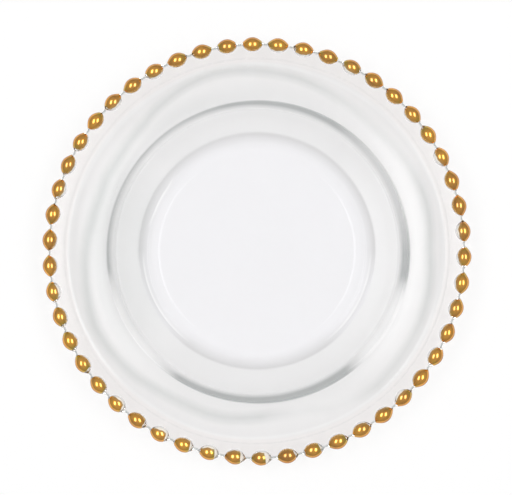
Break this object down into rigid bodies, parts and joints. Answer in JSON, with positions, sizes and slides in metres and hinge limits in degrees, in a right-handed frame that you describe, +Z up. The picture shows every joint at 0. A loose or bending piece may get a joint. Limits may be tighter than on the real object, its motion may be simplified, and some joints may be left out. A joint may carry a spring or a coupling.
{
  "type": "bread plate",
  "caption": "Round bread plate of clear pressed glass with a flat well, a curved flange, a foot ring and a rim of lemon-shaped beads coated in gold.",
  "frame": {"origin": "middle of the plane that the foot ring rests on", "axes": "+Z up along the plate's axis, -Y towards the viewer, +X to the viewer's right"},
  "size_m": [0.1652, 0.1652, 0.0163],
  "materials": {
    "glass": "clear fire-polished pressed glass",
    "gold": "bright hand-brushed gold"
  },
  "bodies": {
    "root": {"glass_plate": "glass", "bead_gilding_01": "gold", "bead_gilding_02": "gold", "bead_gilding_03": "gold", "bead_gilding_04": "gold", "bead_gilding_05": "gold", "bead_gilding_06": "gold", "bead_gilding_07": "gold", "bead_gilding_08": "gold", "bead_gilding_09": "gold", "bead_gilding_10": "gold", "bead_gilding_11": "gold", "bead_gilding_12": "gold", "bead_gilding_13": "gold", "bead_gilding_14": "gold", "bead_gilding_15": "gold", "bead_gilding_16": "gold", "bead_gilding_17": "gold", "bead_gilding_18": "gold", "bead_gilding_19": "gold", "bead_gilding_20": "gold", "bead_gilding_21": "gold", "bead_gilding_22": "gold", "bead_gilding_23": "gold", "bead_gilding_24": "gold", "bead_gilding_25": "gold", "bead_gilding_26": "gold", "bead_gilding_27": "gold", "bead_gilding_28": "gold", "bead_gilding_29": "gold", "bead_gilding_30": "gold", "bead_gilding_31": "gold", "bead_gilding_32": "gold", "bead_gilding_33": "gold", "bead_gilding_34": "gold", "bead_gilding_35": "gold", "bead_gilding_36": "gold", "bead_gilding_37": "gold", "bead_gilding_38": "gold", "bead_gilding_39": "gold", "bead_gilding_40": "gold", "bead_gilding_41": "gold", "bead_gilding_42": "gold", "bead_gilding_43": "gold", "bead_gilding_44": "gold", "bead_gilding_45": "gold", "bead_gilding_46": "gold", "bead_gilding_47": "gold", "bead_gilding_48": "gold", "bead_gilding_49": "gold", "bead_gilding_50": "gold"}
  },
  "joints": []
}
